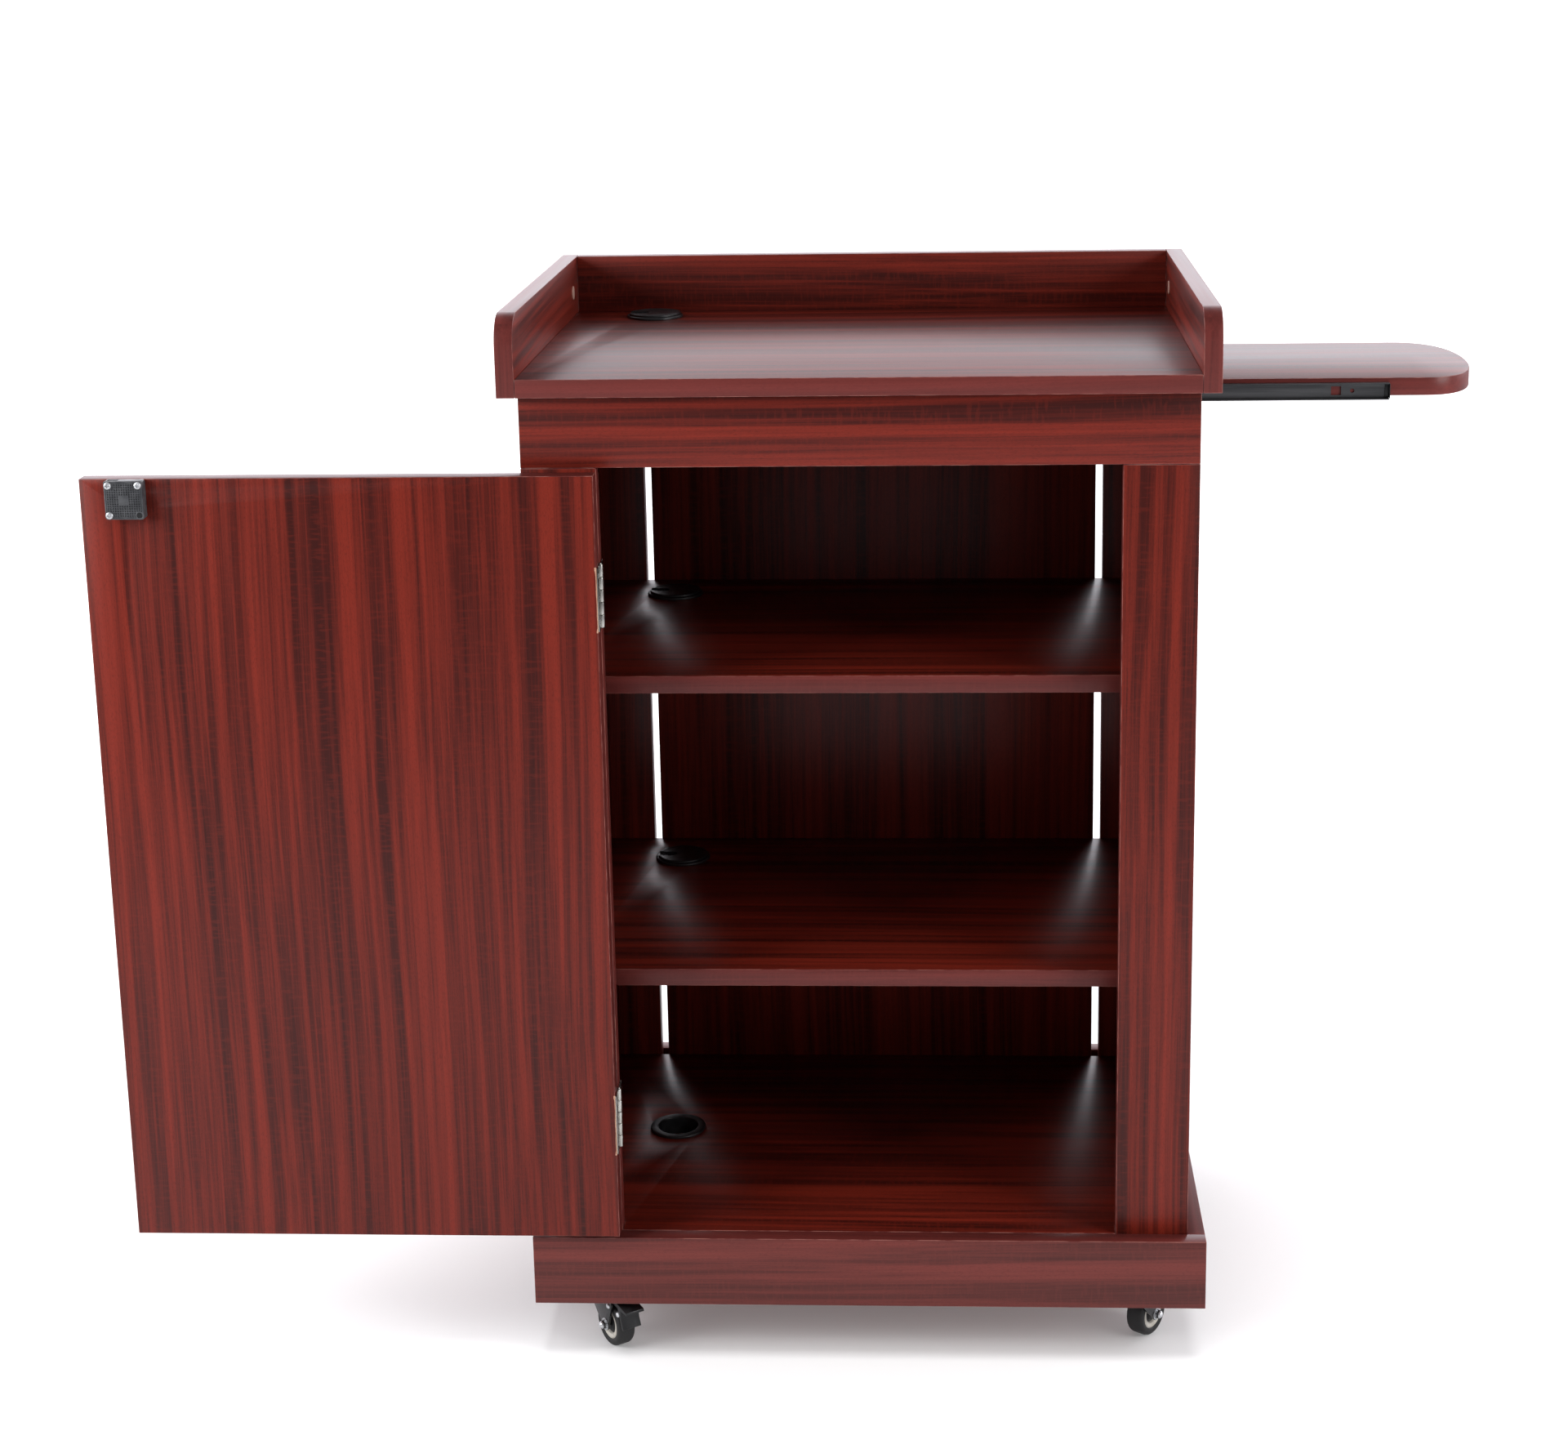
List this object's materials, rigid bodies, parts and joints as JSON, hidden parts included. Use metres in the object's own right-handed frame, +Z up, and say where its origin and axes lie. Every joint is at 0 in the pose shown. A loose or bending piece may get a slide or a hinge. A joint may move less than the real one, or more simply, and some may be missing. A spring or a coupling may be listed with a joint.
{
  "type": "lectern podium",
  "caption": "Rolling wood-laminate lectern: cabinet with an inset door and shelves, a desktop with a raised gallery, a pull-out side shelf and swivel casters.",
  "frame": {"origin": "on the floor, under the middle of the bounding box of the lectern as stored: door folded right back to the left, side shelf pulled out to the right", "axes": "+Z up, +X to the speaker's right, towards the side shelf, +Y from the speaker towards the audience"},
  "size_m": [1.38, 0.5264, 1.099],
  "materials": {
    "mahogany_laminate": "satin laminate with a dark streaky grain",
    "nickel_plate": "polished nickel plate",
    "black_plastic": "moulded, fine satin",
    "runner_steel": "dark grey plated steel",
    "black_steel": "gloss black powder coat",
    "caster_rubber": "matt black tyre",
    "zinc_plate": "bright zinc plate",
    "cream_plastic": "cream moulded wheel centre"
  },
  "bodies": {
    "cabinet": {"base_board": "mahogany_laminate", "plinth_front": "mahogany_laminate", "plinth_back": "mahogany_laminate", "plinth_left": "mahogany_laminate", "plinth_right": "mahogany_laminate", "left_side_panel": "mahogany_laminate", "right_side_panel": "mahogany_laminate", "front_left_stile": "mahogany_laminate", "front_right_stile": "mahogany_laminate", "front_top_rail": "mahogany_laminate", "back_left_stile": "mahogany_laminate", "back_right_stile": "mahogany_laminate", "back_top_rail": "mahogany_laminate", "back_centre_panel": "mahogany_laminate", "floor_panel": "mahogany_laminate", "upper_shelf": "mahogany_laminate", "lower_shelf": "mahogany_laminate", "desktop": "mahogany_laminate", "gallery_back": "mahogany_laminate", "gallery_left": "mahogany_laminate", "gallery_right": "mahogany_laminate", "desktop_grommet": "black_plastic", "upper_shelf_grommet": "black_plastic", "lower_shelf_grommet": "black_plastic", "floor_grommet": "black_plastic", "front_fixed_runner": "runner_steel", "rear_fixed_runner": "runner_steel", "front_runner_batten": "mahogany_laminate", "rear_runner_batten": "mahogany_laminate", "upper_hinge_frame_leaf": "nickel_plate", "lower_hinge_frame_leaf": "nickel_plate", "front_left_caster_plate": "zinc_plate", "front_right_caster_plate": "zinc_plate", "rear_left_caster_plate": "zinc_plate", "rear_right_caster_plate": "zinc_plate"},
    "door": {"door_panel": "mahogany_laminate", "upper_hinge_door_leaf": "nickel_plate", "lower_hinge_door_leaf": "nickel_plate", "upper_hinge_pin": "nickel_plate", "lower_hinge_pin": "nickel_plate", "lock_case": "black_plastic"},
    "lock_barrel": {"lock_barrel": "zinc_plate"},
    "lock_bolt": {"lock_bolt": "zinc_plate"},
    "side_shelf": {"side_shelf": "mahogany_laminate", "front_moving_runner": "runner_steel", "rear_moving_runner": "runner_steel"},
    "desktop_grommet_cap": {"desktop_grommet_cap": "black_plastic"},
    "upper_shelf_grommet_cap": {"upper_shelf_grommet_cap": "black_plastic"},
    "lower_shelf_grommet_cap": {"lower_shelf_grommet_cap": "black_plastic"},
    "front_left_fork": {"front_left_caster_fork": "black_steel"},
    "front_left_wheel": {"front_left_caster_wheel": "caster_rubber"},
    "front_left_brake_pedal": {"front_left_brake_pedal": "black_plastic"},
    "front_right_fork": {"front_right_caster_fork": "black_steel"},
    "front_right_wheel": {"front_right_caster_wheel": "caster_rubber"},
    "rear_left_fork": {"rear_left_caster_fork": "black_steel"},
    "rear_left_wheel": {"rear_left_caster_wheel": "caster_rubber"},
    "rear_right_fork": {"rear_right_caster_fork": "black_steel"},
    "rear_right_wheel": {"rear_right_caster_wheel": "caster_rubber"},
    "rear_right_brake_pedal": {"rear_right_brake_pedal": "black_plastic"}
  },
  "joints": [
    {"name": "door_swing", "type": "hinge", "parent": "cabinet", "child": "door", "pos_m": [-0.1845, -0.22935, 0.543], "axis": [0, 0, 1], "range_deg": [0, 180]},
    {"name": "lock_barrel_turn", "type": "hinge", "parent": "door", "child": "lock_barrel", "pos_m": [-0.643, -0.24185, 0.921], "axis": [0, -1, 0], "range_deg": [0, 90]},
    {"name": "lock_bolt_throw", "type": "slide", "parent": "door", "child": "lock_bolt", "axis": [0, 0, 1], "range_m": [0, 0.008]},
    {"name": "side_shelf_slide", "type": "slide", "parent": "cabinet", "child": "side_shelf", "axis": [1, 0, 0], "range_m": [-0.225, 0]},
    {"name": "desktop_grommet_cap_turn", "type": "hinge", "parent": "cabinet", "child": "desktop_grommet_cap", "pos_m": [-0.168, 0.17915, 1.037], "axis": [0, 0, 1], "continuous": true},
    {"name": "upper_shelf_grommet_cap_turn", "type": "hinge", "parent": "cabinet", "child": "upper_shelf_grommet_cap", "pos_m": [-0.152, 0.15815, 0.725], "axis": [0, 0, 1], "continuous": true},
    {"name": "lower_shelf_grommet_cap_turn", "type": "hinge", "parent": "cabinet", "child": "lower_shelf_grommet_cap", "pos_m": [-0.152, 0.15815, 0.411], "axis": [0, 0, 1], "continuous": true},
    {"name": "front_left_swivel", "type": "hinge", "parent": "cabinet", "child": "front_left_fork", "pos_m": [-0.21, -0.19485, 0.06], "axis": [0, 0, 1], "continuous": true},
    {"name": "front_left_wheel_spin", "type": "hinge", "parent": "front_left_fork", "child": "front_left_wheel", "pos_m": [-0.19824, -0.21103, 0.025], "axis": [0.809, 0.5878, 0], "continuous": true},
    {"name": "front_left_brake_pedal_press", "type": "hinge", "parent": "front_left_fork", "child": "front_left_brake_pedal", "pos_m": [-0.19178, -0.21993, 0.0556], "axis": [0.809, 0.5878, 0], "range_deg": [0, 14]},
    {"name": "front_right_swivel", "type": "hinge", "parent": "cabinet", "child": "front_right_fork", "pos_m": [0.35, -0.19485, 0.06], "axis": [0, 0, 1], "continuous": true},
    {"name": "front_right_wheel_spin", "type": "hinge", "parent": "front_right_fork", "child": "front_right_wheel", "pos_m": [0.36176, -0.17867, 0.025], "axis": [-0.809, 0.5878, 0], "continuous": true},
    {"name": "rear_left_swivel", "type": "hinge", "parent": "cabinet", "child": "rear_left_fork", "pos_m": [-0.21, 0.21415, 0.06], "axis": [0, 0, 1], "continuous": true},
    {"name": "rear_left_wheel_spin", "type": "hinge", "parent": "rear_left_fork", "child": "rear_left_wheel", "pos_m": [-0.21484, 0.19474, 0.025], "axis": [0.9703, -0.2419, 0], "continuous": true},
    {"name": "rear_right_swivel", "type": "hinge", "parent": "cabinet", "child": "rear_right_fork", "pos_m": [0.35, 0.21415, 0.06], "axis": [0, 0, 1], "continuous": true},
    {"name": "rear_right_wheel_spin", "type": "hinge", "parent": "rear_right_fork", "child": "rear_right_wheel", "pos_m": [0.35684, 0.19536, 0.025], "axis": [0.9397, 0.342, 0], "continuous": true},
    {"name": "rear_right_brake_pedal_press", "type": "hinge", "parent": "rear_right_fork", "child": "rear_right_brake_pedal", "pos_m": [0.3606, 0.18502, 0.0556], "axis": [0.9397, 0.342, 0], "range_deg": [0, 14]}
  ],
  "couplings": [
    {"joint": "lock_bolt_throw", "follows": "lock_barrel_turn", "m_per_rad": 0.00509}
  ]
}
